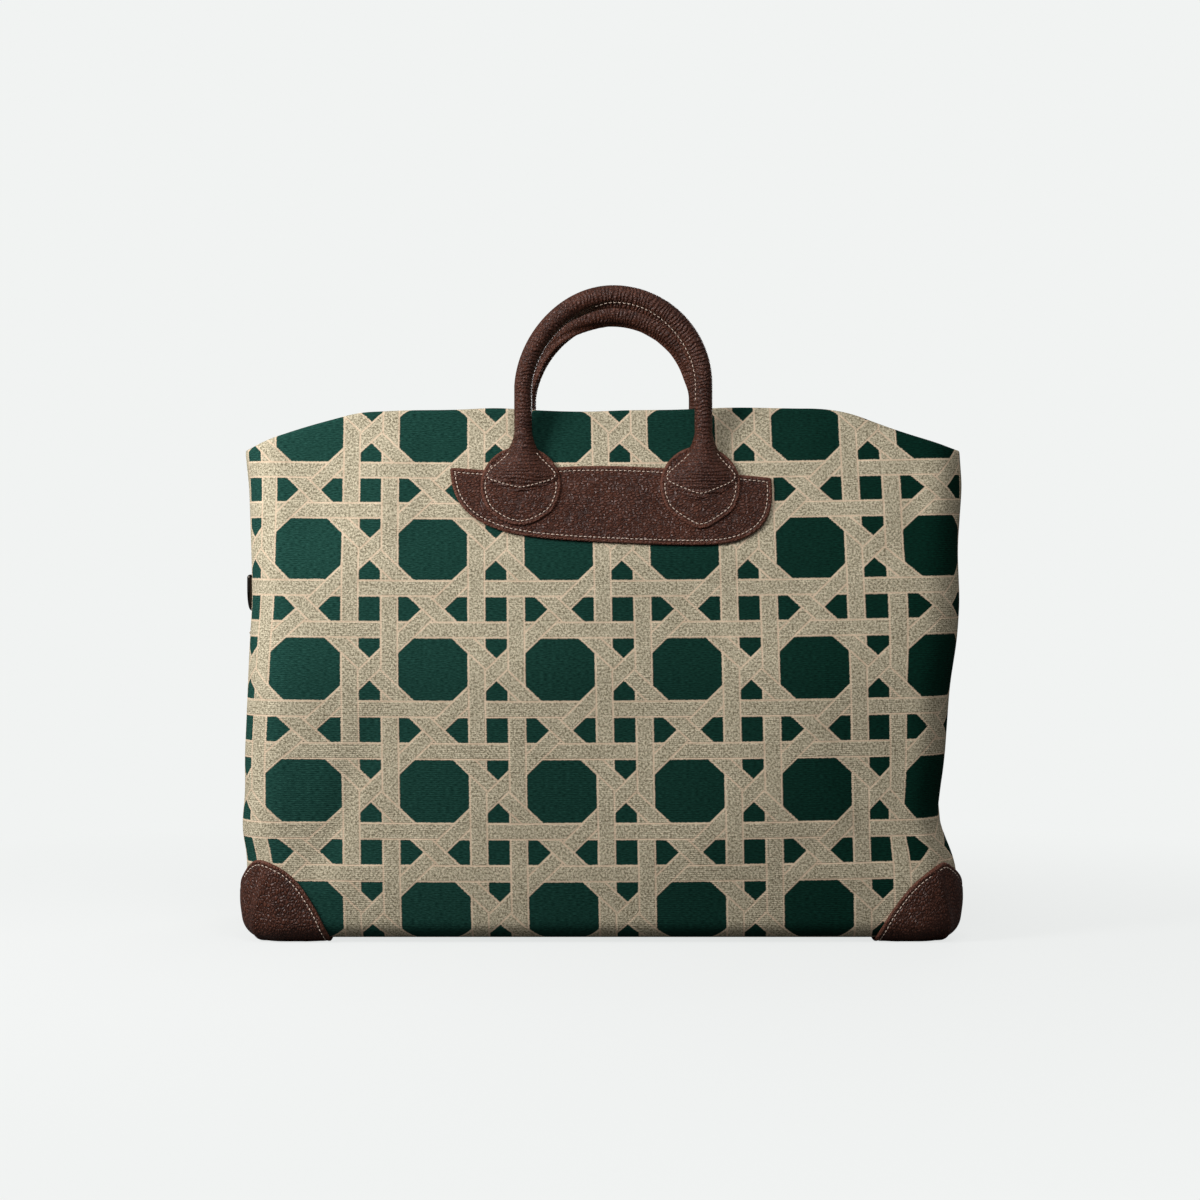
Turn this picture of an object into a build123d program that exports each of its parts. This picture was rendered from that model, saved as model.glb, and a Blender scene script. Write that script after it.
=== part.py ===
from build123d import *
import math
import os

os.makedirs("parts", exist_ok=True)

# Driving dimensions, in millimetres
# The bag stands on the XY plane, its front faces -Y and its zip runs along X

# Body: height above the floor, width and depth of each level of the cloth
body_levels = (
    (3, 530, 206),
    (45, 534, 212),
    (110, 522, 210),
    (200, 528, 200),
    (280, 536, 168),
    (350, 548, 122),
    (402, 556, 88),
)
base_z = body_levels[0][0]
fold_z = body_levels[-1][0]
headroom = 12
corner_r = 30
base_round = 14
shoulder_flat = 185
shoulder_x = 276
shoulder_z = 371

# Zip valley between the two top folds
valley_top = 38
valley_floor = 21
floor_z = 364

# Cloth, lining and board
cloth_t = 1.6
lining_t = 0.6
board_t = 3
layer_gap = 0.1
seam_gap = 0.1

# Woven cane figure: green fields framed by pairs of uprights, pairs of levels and slants
repeat_x = 96
repeat_z = 91
column_x = -29.8
row_z = 201.8
upright_offset = 33
level_offset = 30.4
upright_w = 14
level_w = 13.7
slant_w = 12.4
figure_t = 0.5
figure_low = 20
figure_high = 398

# Zip
zip_half = 250
slot_half = 13.5
tape_outer = 20
tape_t = 0.8
tooth_pitch = 6
tooth_w = 2.7
tooth_reach = 1.2
bead_outer = 3.2
bead_w = 1.1
chain_h = 3
stop_w = 4
stop_proud = 0.9

# Zip slider and puller
slider_l = 15
slider_w = 12.4
plate_t = 1.4
slider_gap = 0.35
lug_l = 10
lug_w = 3.4
lug_t = 1.4
lug_h = 5.2
puller_l = 26
puller_w = 16
puller_wire = 2
puller_bend = 1.5
tab_l = 56
tab_w = 11
tab_t = 1.2
tab_gap = 0.15

# Leather trim
trim_t = 2.2
chape_t = 1.8
cap_r = 64
cap_inset_x = 8
cap_inset_y = 8
handle_x = 9
patch_half = 122
patch_top = 352
patch_side = 330
patch_low = 297
patch_round = 34

# Handles
leg_half = 68.5
pivot_z = 383
arch_z = 417
tube_r = 7.6
tube_hole_r = 5.2
core_r = 5
neck_gap = 0.3
handle_stand = 1.5
chape_r = 29.5
chape_z = 340
chape_tip = 310
flare_z = 354
flare_w = 22
flare_proud = 6.5
flare_end_z = 340
flare_end_w = 16
flare_end_proud = 2.2

# Side rings
ring_z = 272
ring_half = 15
ring_leg = 9
ring_wire_r = 2
ring_gap = 0.3
strap_w = 24
strap_t = 1.8
strap_low = 214
strap_high = 256


def level_at(z):
    """Width and depth of the cloth at a height, straight between two levels."""
    for (z0, w0, d0), (z1, w1, d1) in zip(body_levels, body_levels[1:]):
        if z <= z1:
            share = (z - z0) / (z1 - z0)
            return w0 + share * (w1 - w0), d0 + share * (d1 - d0)
    return body_levels[-1][1:]


def envelope(grow, bottom=base_z):
    """The bag's outer form grown by a distance: tapered body, sloping shoulders, zip valley."""
    top_w, top_d = body_levels[-1][1:]
    levels = [(bottom - grow, *body_levels[0][1:])]
    levels += body_levels[1:]
    levels.append((fold_z + headroom, top_w, top_d))
    with BuildPart() as body:
        for z, w, d in levels:
            with BuildSketch(Plane.XY.offset(z)):
                RectangleRounded(w + 2 * grow, d + 2 * grow, corner_r + grow)
        loft(ruled=True)
        fillet(body.edges().group_by(Axis.Z)[0], base_round + grow)
        with BuildSketch(Plane.XZ):
            with BuildLine():
                Polyline(
                    (-2 * shoulder_x, shoulder_z + grow),
                    (-shoulder_x, shoulder_z + grow),
                    (-shoulder_flat, fold_z + grow),
                    (shoulder_flat, fold_z + grow),
                    (shoulder_x, shoulder_z + grow),
                    (2 * shoulder_x, shoulder_z + grow),
                    (2 * shoulder_x, 2 * fold_z),
                    (-2 * shoulder_x, 2 * fold_z),
                    close=True,
                )
            make_face()
        extrude(amount=top_w, both=True, mode=Mode.SUBTRACT)
        with BuildSketch(Plane.YZ):
            with BuildLine():
                Polyline(
                    (-valley_floor + grow, floor_z + grow),
                    (valley_floor - grow, floor_z + grow),
                    (valley_top - grow, fold_z + grow),
                    (valley_top - grow, 2 * fold_z),
                    (-valley_top + grow, 2 * fold_z),
                    (-valley_top + grow, fold_z + grow),
                    close=True,
                )
            make_face()
        extrude(amount=top_w, both=True, mode=Mode.SUBTRACT)
    return body.part


def layer(inner, outer, bottom=base_z):
    """A skin of the bag's form between two distances from the cloth's face."""
    with BuildPart() as skin:
        add(envelope(outer, bottom))
        add(envelope(inner, bottom), mode=Mode.SUBTRACT)
    return skin.part


def finish(part, name):
    """Label one piece and write it under its own name."""
    part.label = name
    export_step(part, f"parts/{name}.step")
    return part


sides = (("front", -1), ("back", 1))
ends = (("left", -1), ("right", 1))
far = 2 * body_levels[-1][1]
cloth_inner_z = base_z + cloth_t
board_z = cloth_inner_z + layer_gap
lining_z = board_z + board_t + layer_gap

# Base panel and board
base_w, base_d = body_levels[0][1:]
flat_w = base_w - 2 * base_round
flat_d = base_d - 2 * base_round
flat_r = corner_r - base_round

with BuildPart() as base_panel:
    with BuildSketch(Plane.XY.offset(base_z)):
        RectangleRounded(flat_w, flat_d, flat_r)
    extrude(amount=cloth_t)
finish(base_panel.part, "base_panel")

with BuildPart() as base_board:
    with BuildSketch(Plane.XY.offset(board_z)):
        RectangleRounded(flat_w - 2 * layer_gap, flat_d - 2 * layer_gap, flat_r)
    extrude(amount=board_t)
finish(base_board.part, "base_board")

# Front and back panels, sewn at the middle of each side
cloth_skin = layer(-cloth_t, 0)
for side, sign in sides:
    with BuildPart() as panel:
        add(cloth_skin)
        with BuildSketch(Plane.XY):
            with Locations((0, -sign * (far - seam_gap / 2))):
                Rectangle(4 * far, 2 * far)
        extrude(amount=2 * fold_z, mode=Mode.SUBTRACT)
        with BuildSketch(Plane.XY):
            RectangleRounded(flat_w, flat_d, flat_r)
        extrude(amount=cloth_inner_z + cloth_t, mode=Mode.SUBTRACT)
        with BuildSketch(Plane.XY.offset(floor_z - 2 * cloth_t)):
            Rectangle(2 * zip_half, 2 * slot_half)
        extrude(amount=fold_z, mode=Mode.SUBTRACT)
    finish(panel.part, f"{side}_panel")

# Lining, open along the zip
lining_face = -cloth_t - layer_gap
with BuildPart() as lining:
    add(layer(lining_face - lining_t, lining_face, lining_z + lining_face))
    with BuildSketch(Plane.XY.offset(floor_z - 4 * cloth_t)):
        Rectangle(2 * zip_half, 2 * tape_outer)
    extrude(amount=fold_z, mode=Mode.SUBTRACT)
finish(lining.part, "lining")


def slab(inner, outer, low, high):
    """A sheet that follows the front face, between two distances from the cloth."""
    heights = [low]
    heights += [z for z, w, d in body_levels if low < z < high]
    heights.append(high)
    face = [(-level_at(z)[1] / 2, z) for z in heights]
    with BuildPart() as sheet:
        with BuildSketch(Plane.YZ):
            with BuildLine():
                near = [(y - outer, z) for y, z in face]
                back = [(y - inner, z) for y, z in reversed(face)]
                Polyline(*near, *back, close=True)
            make_face()
        extrude(amount=far, both=True)
    return sheet.part


def on_face(sketch, inner, outer, low, high):
    """The part of a sheet on the front face that lies behind an outline."""
    with BuildPart() as piece:
        add(sketch)
        extrude(amount=far, dir=(0, 1, 0))
        add(slab(inner, outer, low, high), mode=Mode.INTERSECT)
    return piece.part


def for_side(part, sign):
    """The front piece itself, or its mirror image for the back."""
    return mirror(part, about=Plane.XZ, mode=Mode.PRIVATE) if sign > 0 else part


front_plane = Plane.XZ.offset(far)

# Green fields of the cane figure on the front and the back
half_x = repeat_x / 2
half_z = repeat_z / 2
clear_x = upright_offset - upright_w / 2
clear_z = level_offset - level_w / 2
gap_x = half_x - upright_offset - upright_w / 2
gap_z = half_z - level_offset - level_w / 2
diagonal = math.hypot(half_x, half_z)
slant_z = slant_w / 2 * diagonal / half_x
slant_x = slant_w / 2 * diagonal / half_z
slope = half_z / half_x
reach_z = half_z - slant_z
octagon = [
    (clear_x, reach_z - clear_x * slope),
    ((reach_z - clear_z) / slope, clear_z),
]
octagon += [(-x, z) for x, z in reversed(octagon)]
octagon += [(-x, -z) for x, z in octagon]
house_x = [(clear_x, gap_z), (slant_x + gap_z / slope, gap_z), (slant_x, 0)]
house_x += [(x, -z) for x, z in reversed(house_x[:2])]
house_z = [(gap_x, clear_z), (gap_x, slant_z + gap_x * slope), (0, slant_z)]
house_z += [(-x, z) for x, z in reversed(house_z[:2])]
field_half = body_levels[2][1] / 2 - corner_r

with BuildSketch(front_plane) as fields:
    cells = [
        (column_x + n * repeat_x, row_z + m * repeat_z)
        for n in range(-3, 4)
        for m in range(-3, 4)
    ]
    with Locations(*cells):
        Polygon(*octagon, align=None)
    with Locations(*[(x + half_x, z + half_z) for x, z in cells]):
        Rectangle(2 * gap_x, 2 * gap_z)
    with Locations(*[(x, z + half_z) for x, z in cells]):
        Polygon(*house_x, align=None)
        Polygon(*[(-x, z) for x, z in house_x], align=None)
    with Locations(*[(x + half_x, z) for x, z in cells]):
        Polygon(*house_z, align=None)
        Polygon(*[(x, -z) for x, z in house_z], align=None)
    shoulder_slope = (fold_z - shoulder_z) / (shoulder_x - shoulder_flat)
    field_side = figure_high - (field_half - shoulder_flat) * shoulder_slope
    outline = [(shoulder_flat, figure_high), (field_half, field_side), (field_half, figure_low)]
    outline += [(-x, z) for x, z in reversed(outline)]
    Polygon(*outline, align=None, mode=Mode.INTERSECT)

cane_fields = on_face(fields.sketch, 0, figure_t, figure_low, figure_high)
for side, sign in sides:
    finish(for_side(cane_fields, sign), f"cane_fields_{side}")

# Leather patch under each handle
with BuildSketch(front_plane) as patch_outline:
    with BuildLine():
        l1 = Line((handle_x - patch_half, patch_side), (handle_x - patch_half, patch_top))
        l2 = Line(l1 @ 1, (handle_x + patch_half, patch_top))
        l3 = Line(l2 @ 1, (handle_x + patch_half, patch_side))
        low_half = patch_half - patch_round
        l4 = SagittaArc(l3 @ 1, (handle_x + low_half, patch_low + 4), patch_round / 5)
        l5 = ThreePointArc(l4 @ 1, (handle_x, patch_low), (handle_x - low_half, patch_low + 4))
        SagittaArc(l5 @ 1, l1 @ 0, patch_round / 5)
    make_face()
patch_inner = figure_t + layer_gap
patch_outer = patch_inner + trim_t
patch = on_face(patch_outline.sketch, patch_inner, patch_outer, patch_low - 1, patch_top + 1)
for side, sign in sides:
    finish(for_side(patch, sign), f"handle_patch_{side}")

# Chapes, handle ends, handles and their cores
chape_inner = patch_outer + layer_gap
chape_outer = chape_inner + chape_t
tube_y = -level_at(pivot_z)[1] / 2 - handle_stand - tube_r
neck_z = pivot_z - tube_r - neck_gap
for end, way in ends:
    x = handle_x + way * leg_half
    with BuildSketch(front_plane) as chape_outline:
        with Locations((x, chape_z)):
            Circle(chape_r)
        with Locations((x, (chape_z + neck_z) / 2)):
            Rectangle(2 * tube_r, neck_z - chape_z)
        with Locations((x, chape_tip)):
            Circle(1, align=(Align.CENTER, Align.MIN))
        make_hull()
    chape = on_face(chape_outline.sketch, chape_inner, chape_outer, chape_tip, neck_z)

    with BuildPart() as handle_end:
        with BuildSketch(Plane.XY.offset(neck_z)):
            with Locations((x, tube_y)):
                Circle(tube_r)
        for z, w, proud in (
            (flare_z, flare_w, flare_proud),
            (flare_end_z, flare_end_w, flare_end_proud),
        ):
            with BuildSketch(Plane.XY.offset(z)):
                with Locations((x, -level_at(z)[1] / 2 - chape_outer)):
                    Ellipse(w, proud)
        loft()
        add(slab(-far / 2, chape_outer + layer_gap, chape_tip, neck_z + 1), mode=Mode.SUBTRACT)

    for side, sign in sides:
        finish(for_side(chape, sign), f"chape_{side}_{end}")
        finish(for_side(handle_end.part, sign), f"handle_end_{side}_{end}")


def arch(radius, foot_z):
    """Two legs and a half ring in one round section."""
    with BuildPart() as bow:
        with BuildSketch(Plane.XY.offset(foot_z)):
            with Locations((handle_x - leg_half, tube_y), (handle_x + leg_half, tube_y)):
                Circle(radius)
        extrude(amount=arch_z - foot_z)
        with BuildSketch(Plane.XY.offset(arch_z)):
            with Locations((handle_x + leg_half, tube_y)):
                Circle(radius)
        revolve(axis=Axis((handle_x, tube_y, arch_z), (0, -1, 0)), revolution_arc=180)
    return bow.part


with BuildPart() as handle:
    add(arch(tube_r, pivot_z))
    with Locations(*[(handle_x + way * leg_half, tube_y, pivot_z) for end, way in ends]):
        Sphere(tube_r)
    add(arch(tube_hole_r, pivot_z), mode=Mode.SUBTRACT)
handle_core = arch(core_r, pivot_z + layer_gap)
for side, sign in sides:
    finish(for_side(handle.part, sign), f"handle_{side}")
    finish(for_side(handle_core, sign), f"handle_core_{side}")

# Corner caps, which the bag stands on
with BuildPart() as cap:
    with Locations((base_w / 2 - cap_inset_x, base_d / 2 - cap_inset_y, 0)):
        Sphere(cap_r)
    add(envelope(base_z), mode=Mode.INTERSECT)
    add(envelope(figure_t + layer_gap), mode=Mode.SUBTRACT)
for side, sign in sides:
    for end, way in ends:
        corner = cap.part if sign > 0 else mirror(cap.part, about=Plane.XZ, mode=Mode.PRIVATE)
        corner = corner if way > 0 else mirror(corner, about=Plane.YZ, mode=Mode.PRIVATE)
        finish(corner, f"corner_cap_{side}_{end}")

# Zip tapes and their rows of teeth
tape_top = floor_z - cloth_t - layer_gap
chain_low = tape_top - tape_t / 2 - chain_h / 2
chain_top = chain_low + chain_h
teeth = int((2 * zip_half - 4 * stop_w) / tooth_pitch)
row_half = teeth * tooth_pitch / 2
for side, sign in sides:
    with BuildPart() as tape:
        with BuildSketch(Plane.XY.offset(tape_top - tape_t)):
            with Locations((0, sign * (bead_outer + tape_outer) / 2)):
                Rectangle(2 * zip_half, tape_outer - bead_outer)
        extrude(amount=tape_t)
    finish(tape.part, f"zip_tape_{side}")
    with BuildPart() as tooth_row:
        with BuildSketch(Plane.XY.offset(chain_low)):
            with Locations((0, sign * (bead_outer - bead_w / 2))):
                Rectangle(2 * row_half, bead_w)
            tooth_l = bead_outer - bead_w + tooth_reach
            shift = sign * tooth_pitch / 4
            with Locations((shift, sign * (tooth_l / 2 - tooth_reach))):
                with GridLocations(tooth_pitch, 1, teeth, 1):
                    Rectangle(tooth_w, tooth_l)
        extrude(amount=chain_h)
    finish(tooth_row.part, f"zip_teeth_{side}")

for end, way in ends:
    with BuildPart() as stop:
        with BuildSketch(Plane.YZ.offset(way * (row_half + layer_gap))):
            with Locations((0, (chain_low + chain_top) / 2)):
                Rectangle(2 * bead_outer, chain_h + 2 * stop_proud)
        extrude(amount=way * stop_w)
    finish(stop.part, f"zip_stop_{end}")

# Zip slider against its stop: one plate above the teeth, with the puller's lug, and one below
slider_x = row_half + layer_gap - slider_gap - slider_l / 2
plate_z = chain_top + slider_gap
plate_top = plate_z + plate_t
chain_half = bead_outer + slider_gap
lip_z = tape_top + slider_gap
chain_middle = (chain_low + chain_top) / 2
puller_z = plate_top + (lug_h - lug_t) / 2
with BuildPart() as slider:
    with BuildSketch(Plane.YZ.offset(slider_x - slider_l / 2)):
        with BuildLine():
            Polyline(
                (-slider_w / 2, lip_z),
                (-chain_half, lip_z),
                (-chain_half, plate_z),
                (chain_half, plate_z),
                (chain_half, lip_z),
                (slider_w / 2, lip_z),
                (slider_w / 2, plate_top),
                (-slider_w / 2, plate_top),
                close=True,
            )
        make_face()
    extrude(amount=slider_l)
    mirror(about=Plane.XY.offset(chain_middle))
    with BuildSketch(Plane.XZ.offset(-lug_w / 2)):
        with Locations((slider_x, plate_top)):
            Rectangle(lug_l, lug_h, align=(Align.CENTER, Align.MIN))
            with Locations((0, (lug_h - lug_t) / 2)):
                Rectangle(lug_l - 2 * lug_t, lug_h - lug_t, mode=Mode.SUBTRACT)
    extrude(amount=lug_w)
finish(slider.part, "zip_slider")

# Puller of bent wire and its leather tab, lying back over the teeth
bar_end = slider_x - puller_l + puller_wire
bar_half = (puller_w - puller_wire) / 2
with BuildPart() as puller:
    with BuildLine(Plane.XY.offset(puller_z)) as wire:
        FilletPolyline(
            (slider_x, -bar_half),
            (slider_x, bar_half),
            (bar_end, bar_half),
            (bar_end, -bar_half),
            radius=puller_bend,
            close=True,
        )
    with BuildSketch(Plane(origin=wire.line @ 0, z_dir=wire.line % 0)):
        Circle(puller_wire / 2)
    sweep()
finish(puller.part, "zip_puller")

loop_hole = puller_wire / 2 + tab_gap
with BuildPart() as tab:
    with BuildSketch(Plane.XZ.offset(-tab_w / 2)):
        with Locations((bar_end, puller_z)):
            Circle(loop_hole + tab_t)
            with Locations((-tab_l / 2, 0)):
                Rectangle(tab_l, 2 * tab_t)
            Circle(loop_hole, mode=Mode.SUBTRACT)
    extrude(amount=tab_w)
finish(tab.part, "zip_pull_tab")

# Side rings and the leather straps that hold them
strap_stack = 2 * strap_t
loop_r = ring_wire_r + ring_gap
bar_x = level_at(ring_z)[0] / 2 + layer_gap + strap_stack + ring_gap + ring_wire_r


def strap_x(z):
    """The inner face of a side strap, which follows the side of the bag."""
    return level_at(z)[0] / 2 + layer_gap


with BuildPart() as strap:
    with BuildSketch(Plane.XZ.offset(-strap_w / 2)):
        with BuildLine():
            Polyline(
                (strap_x(strap_low), strap_low),
                (strap_x(strap_low) + strap_stack, strap_low),
                (strap_x(strap_high) + strap_stack, strap_high),
                (strap_x(strap_high), strap_high),
                close=True,
            )
        make_face()
    extrude(amount=strap_w)
    with BuildSketch(Plane.XZ.offset(-strap_w / 2)):
        with Locations((bar_x, ring_z)):
            Circle(loop_r + strap_t)
        with BuildLine():
            Line((strap_x(strap_high), strap_high), (strap_x(strap_high) + strap_stack, strap_high))
        make_hull()
        with Locations((bar_x, ring_z)):
            Circle(loop_r, mode=Mode.SUBTRACT)
    extrude(amount=strap_w)

with BuildPart() as ring:
    with BuildSketch(Plane.XZ.offset(-ring_half)):
        with Locations((bar_x, ring_z)):
            Circle(ring_wire_r)
    extrude(amount=2 * ring_half)
    leg_z = ring_z - ring_leg
    with Locations((bar_x, -ring_half, ring_z), (bar_x, ring_half, ring_z)):
        Sphere(ring_wire_r)
    with BuildSketch(Plane.XY.offset(leg_z)):
        with Locations((bar_x, -ring_half), (bar_x, ring_half)):
            Circle(ring_wire_r)
    extrude(amount=ring_leg)
    with BuildSketch(Plane.XY.offset(leg_z)):
        with Locations((bar_x, ring_half)):
            Circle(ring_wire_r)
    revolve(axis=Axis((bar_x, 0, leg_z), (-1, 0, 0)), revolution_arc=180)

for end, way in ends:
    for piece, name in ((strap.part, "ring_strap"), (ring.part, "side_ring")):
        side_piece = piece if way > 0 else mirror(piece, about=Plane.YZ, mode=Mode.PRIVATE)
        finish(side_piece, f"{name}_{end}")

print("hinge of handles", round(tube_y, 3), pivot_z)
print("hinge of rings", round(bar_x, 3), ring_z)
print("hinge of puller", round(slider_x, 3), round(puller_z, 3), "zip travel", 2 * slider_x)
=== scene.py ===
# %% [markdown]
# A soft travel bag of woven cane-pattern tapestry with rolled leather handles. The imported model
# is loaded first as a fixed frame: every new piece is placed from it and rides on its bodies.

# %% Load the frame
import math

import bmesh
import bpy
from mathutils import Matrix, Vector


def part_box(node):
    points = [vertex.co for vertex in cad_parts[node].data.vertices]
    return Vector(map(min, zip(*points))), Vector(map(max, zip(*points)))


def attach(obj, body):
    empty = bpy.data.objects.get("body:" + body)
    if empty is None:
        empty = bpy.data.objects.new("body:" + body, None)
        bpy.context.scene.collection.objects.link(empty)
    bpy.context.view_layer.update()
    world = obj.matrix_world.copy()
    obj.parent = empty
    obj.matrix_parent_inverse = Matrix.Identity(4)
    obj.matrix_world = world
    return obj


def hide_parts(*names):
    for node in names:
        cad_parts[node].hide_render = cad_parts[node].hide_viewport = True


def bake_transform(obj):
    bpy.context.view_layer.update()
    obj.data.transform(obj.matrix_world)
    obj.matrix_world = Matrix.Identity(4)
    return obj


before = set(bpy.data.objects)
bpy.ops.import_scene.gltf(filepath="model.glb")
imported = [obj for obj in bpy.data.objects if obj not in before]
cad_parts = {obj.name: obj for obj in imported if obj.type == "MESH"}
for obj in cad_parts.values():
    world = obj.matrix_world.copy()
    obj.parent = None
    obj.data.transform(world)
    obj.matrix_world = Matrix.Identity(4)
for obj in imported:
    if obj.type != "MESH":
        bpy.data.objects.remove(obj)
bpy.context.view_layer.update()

# %% [markdown]
# The bag's form is a few levels, each a rounded rectangle of cloth: height, width and depth in
# millimetres. Everything sewn on the bag follows the same form, so one function gives the point
# on the cloth for any place across and up the front.

# %% Sizes of the bag
MM = 0.001
LEVELS = ((3, 530, 206), (45, 534, 212), (110, 522, 210), (200, 528, 200),
          (280, 536, 168), (350, 548, 122), (402, 556, 88))
CORNER = 30
BASE_ROUND = 14
FOLD_Z = 402
FOLD_ROUND = 3.5
VALLEY_TOP = 38
VALLEY_FLOOR = 21
FLOOR_Z = 364
SLOT_HALF = 13.5
CLOTH_T = 1.6
BASE_TOP = LEVELS[0][0] + BASE_ROUND
HANDLE_X = 9
LEG_HALF = 68.5
ARCH_Z = 417
TUBE_R = 7.6
TUBE_Y = -59.3
SIDES = ("front", 1), ("back", -1)

# The line of the top fold, and how far the sides swell out or fall in, from place to place
TOP_LINE = ((-276, 369), (-260, 377), (-185, 399), (-131, 399.8), (-85, 402), (-55, 399.8), (0, 399.2),
            (30, 399.8), (68, 401.3), (137, 402), (167, 401.3), (190, 397.5), (276, 368.5))
SIDE_SWELL = {
    -1: ((60, 0), (84, 7), (136, 6.5), (181, 3.4), (218, 1), (254, -1.9), (343, -2.4), (380, 0)),
    1: ((60, 0), (74, -5), (93, -10), (115, -6), (136, -3.7), (190, -1.2), (225, 3.6), (254, 5),
        (295, 2.4), (343, 4), (380, 1)),
}


def smooth_step(value, low, high):
    """0 below low, 1 above high and a smooth curve between them."""
    t = min(max((value - low) / (high - low), 0), 1)
    return t * t * (3 - 2 * t)


def follow(points, at, soft):
    """Value at a place between (place, value) points, with the kinks eased over a distance."""
    def straight(here):
        if here <= points[0][0]:
            return points[0][1]
        for low, high in zip(points, points[1:]):
            if here <= high[0]:
                return low[1] + (here - low[0]) / (high[0] - low[0]) * (high[1] - low[1])
        return points[-1][1]
    steps = (-1, -0.5, 0, 0.5, 1)
    return sum(straight(at + soft * step) for step in steps) / len(steps)


WIDTHS = [(z, width) for z, width, depth in LEVELS]
DEPTHS = [(z, depth) for z, width, depth in LEVELS]


def level_at(z):
    """Width and depth of the cloth at a height."""
    return follow(WIDTHS, z, 9), follow(DEPTHS, z, 9)


def front_y(z, proud=0.0):
    """The front face of the cloth at a height, and how far out from it."""
    return -level_at(z)[1] / 2 - proud


def top_at(x):
    """Height of the top fold, level in the middle and falling to the shoulders."""
    return follow(TOP_LINE, x, 9) + 0.4 * math.sin(x / 13)


def wall(u, z):
    """Point and outward direction of the front half of the cloth, u round it from the middle."""
    width, depth = level_at(z)
    way = 1 if u >= 0 else -1
    face, side = width / 2 - CORNER, depth / 2 - CORNER
    turn = math.pi / 2 * CORNER
    reach = abs(u)
    if reach <= face:
        x, y, out, front = reach, -depth / 2, 0, -1
    elif reach <= face + turn:
        angle = (reach - face) / CORNER
        out, front = math.sin(angle), -math.cos(angle)
        x, y = face + CORNER * out, -side + CORNER * front
    else:
        x, y, out, front = width / 2, min(-side + reach - face - turn, 0), 1, 0
    x += follow(SIDE_SWELL[way], z, 9) * smooth_step(x, 190, 262) * smooth_step(-y, 14, 40)
    return way * x, y, way * out, front


def skin(u, v, proud=0.0):
    """Point on the cloth, or proud of it, u round the bag and v up it from under the base."""
    bend = min(max((BASE_TOP - v) / BASE_ROUND, 0), math.pi / 2)
    under = max(BASE_TOP - BASE_ROUND * math.pi / 2 - v, 0)
    z = v if v > BASE_TOP else BASE_TOP - BASE_ROUND * math.sin(bend)
    x, y, out, front = wall(u, z)
    reach = proud * math.cos(bend) - BASE_ROUND * (1 - math.cos(bend)) - under
    return x + out * reach, y + front * reach, z - proud * math.sin(bend)


print("front face at mid height", round(front_y(200), 1))

# %% [markdown]
# Shader maths reads best as plain expressions. This small class wraps a socket: each operator
# adds one Math node, and add() makes any other node from its settings and socket values.

# %% Shader helper
class Sock:
    """A node socket, or a number, that takes part in maths."""

    def __init__(self, tree, link):
        self.tree, self.link = tree, link

    def add(self, kind, values=None, out=0, **settings):
        node = self.tree.nodes.new(kind)
        for key, value in settings.items():
            setattr(node, key, value)
        for key, value in (values or {}).items():
            if isinstance(value, Sock):
                self.tree.links.new(value.link, node.inputs[key])
            else:
                node.inputs[key].default_value = value
        return Sock(self.tree, node.outputs[out])

    def math(self, operation, *others):
        values = {0: self}
        values.update({i + 1: other for i, other in enumerate(others)})
        return self.add("ShaderNodeMath", values, operation=operation)

    def __add__(self, other):
        return self.math("ADD", other)

    __radd__ = __add__

    def __sub__(self, other):
        return self.math("SUBTRACT", other)

    def __rsub__(self, other):
        return self.add("ShaderNodeMath", {0: other, 1: self}, operation="SUBTRACT")

    def __mul__(self, other):
        return self.math("MULTIPLY", other)

    __rmul__ = __mul__

    def __truediv__(self, other):
        return self.math("DIVIDE", other)

    def above(self, limit, edge, low=0.0, high=1.0):
        """1 where the value is above the limit, with a soft edge."""
        return self.add("ShaderNodeMapRange", {0: self, 1: limit - edge, 2: limit + edge, 3: low, 4: high})

    def under(self, limit, edge):
        """1 where the value is below the limit, with a soft edge."""
        return self.above(limit, edge, 1.0, 0.0)

    def mix(self, low, high):
        """Colour low where the value is 0 and high where it is 1."""
        return self.add("ShaderNodeMix", {0: self, 6: low, 7: high}, out=2, data_type="RGBA")


def srgb(red, green, blue):
    """A colour given 0 to 255, as the shader's linear colour."""
    return tuple(((c / 255 + 0.055) / 1.055) ** 2.4 for c in (red, green, blue)) + (1.0,)


def new_material(name, roughness, metallic=0.0, **constants):
    """A material with its shader, its tree and a start for expressions."""
    material = bpy.data.materials.new(name)
    material.use_nodes = True
    tree = material.node_tree
    shader = tree.nodes["Principled BSDF"]
    shader.inputs["Roughness"].default_value = roughness
    shader.inputs["Metallic"].default_value = metallic
    for key, value in constants.items():
        shader.inputs[key.replace("_", " ")].default_value = value
    return material, tree, shader


def connect(tree, sock, shader, name):
    tree.links.new(sock.link, shader.inputs[name])


def noise(start, where, scale, detail=3.0, rough=0.5, distortion=0.0):
    return start.add("ShaderNodeTexNoise", {"Vector": where, "Scale": scale, "Detail": detail,
                                            "Roughness": rough, "Distortion": distortion})


def bump(start, height, strength, distance, under=None):
    values = {"Height": height, "Strength": strength, "Distance": distance}
    if under is not None:
        values["Normal"] = under
    return start.add("ShaderNodeBump", values)


print("shader helper ready")

# %% [markdown]
# The tapestry is a cane figure: pairs of upright strands, pairs of level strands and two sets of
# slants, woven over and under each other round green octagons. The pattern is worked out from the
# cloth's own UV map, in millimetres of flat cloth, so it turns the corners and folds as cloth does.

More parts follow.
